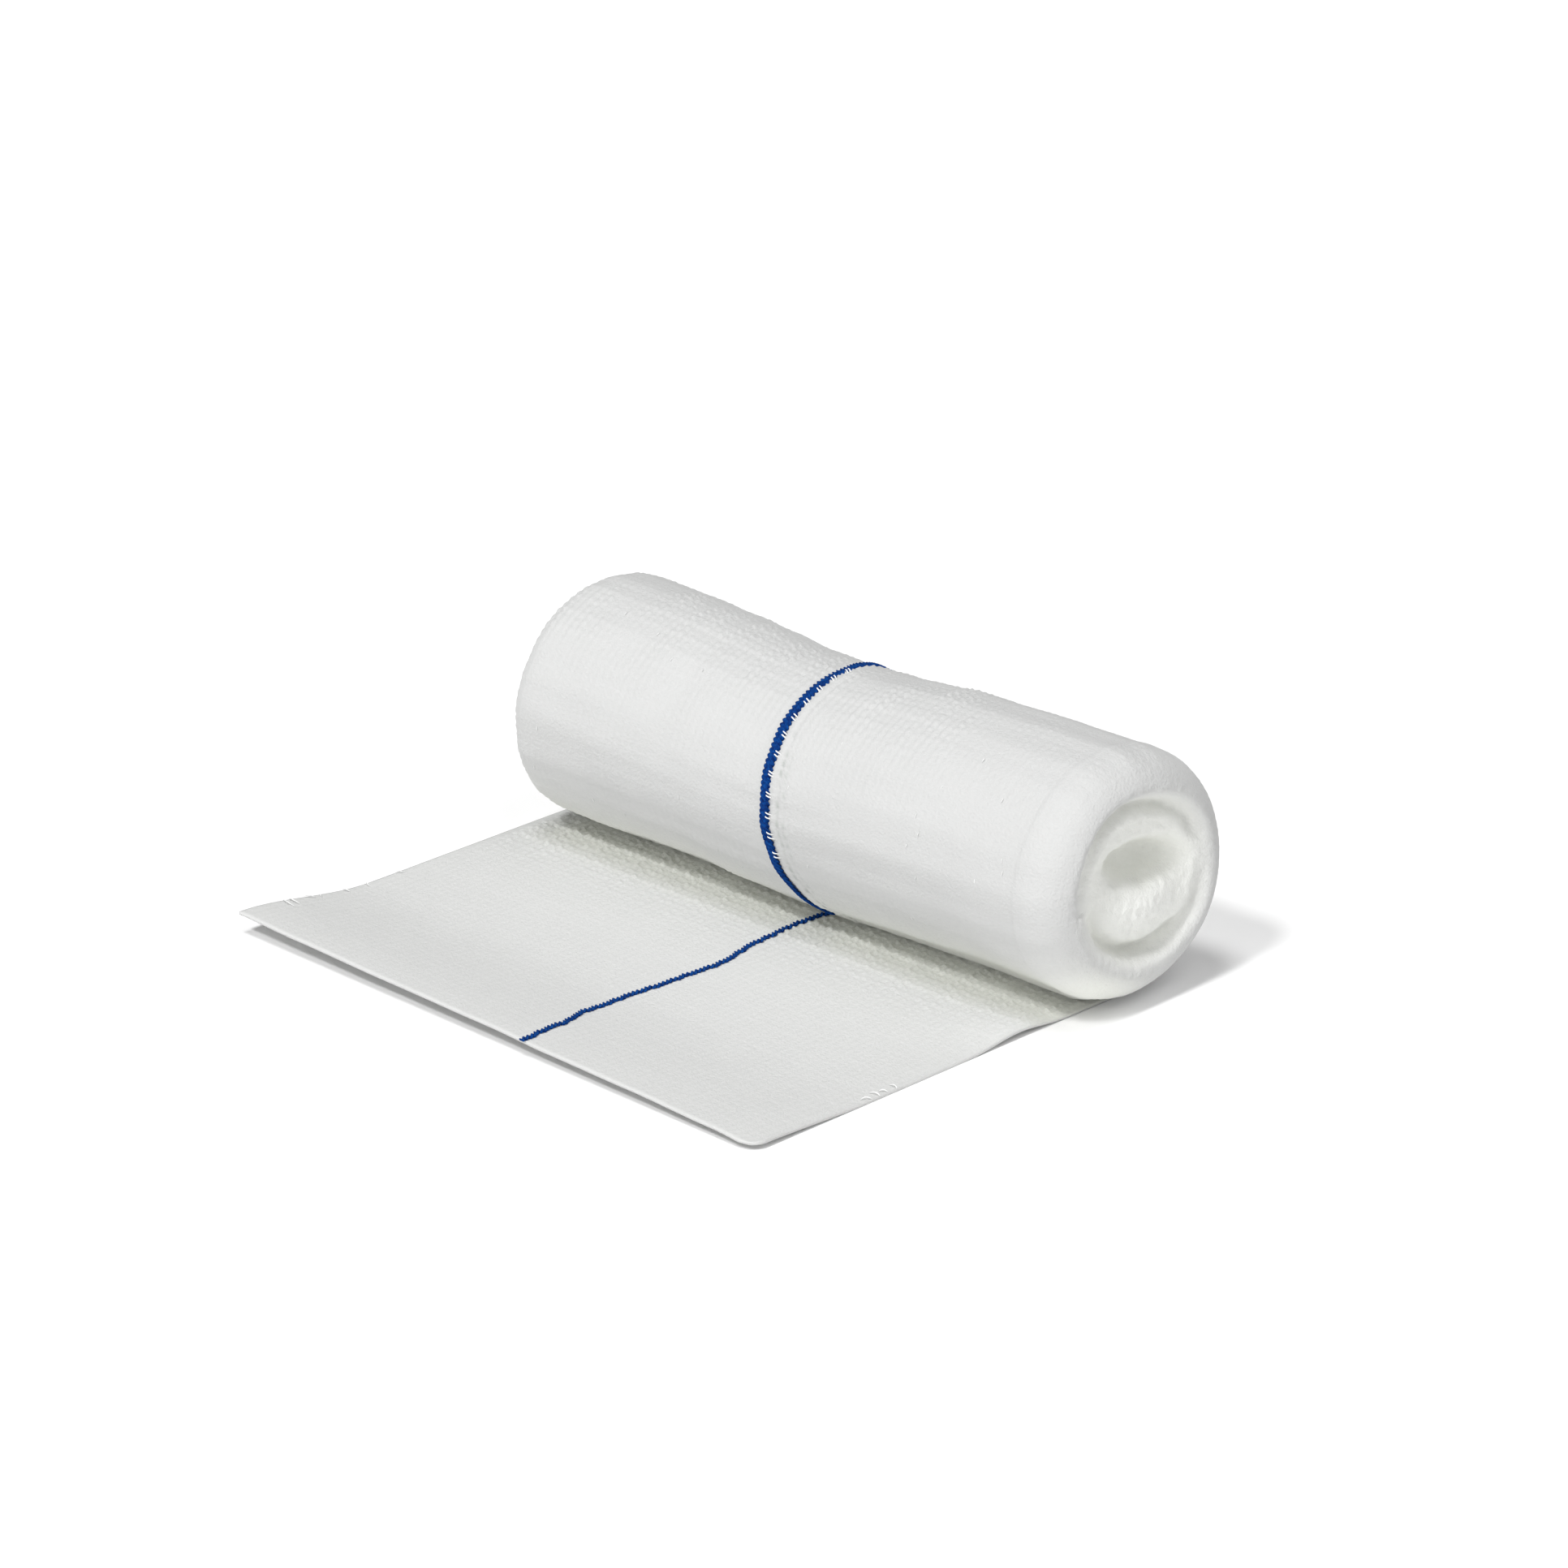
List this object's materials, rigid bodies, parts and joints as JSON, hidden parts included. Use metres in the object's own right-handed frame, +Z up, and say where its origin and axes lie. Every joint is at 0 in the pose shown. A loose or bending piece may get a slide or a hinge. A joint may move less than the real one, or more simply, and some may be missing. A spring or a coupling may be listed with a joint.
{
  "type": "gauze bandage roll",
  "caption": "Wound roll of white knitted gauze bandage lying on its own unwound flat end, with a blue marker yarn along the strip.",
  "frame": {"origin": "bottom centre of the object's box, on the surface it lies on", "axes": "+X along the roll towards the end whose spiral shows, -Y the way the loose end points, +Z up"},
  "size_m": [0.1062, 0.0854, 0.0364],
  "materials": {
    "gauze": "matte white knitted gauze",
    "marker_yarn": "matte blue yarn"
  },
  "bodies": {
    "root": {"roll": "gauze", "loose_end": "gauze", "marker_yarn_roll": "marker_yarn", "marker_yarn_end": "marker_yarn"}
  },
  "joints": []
}
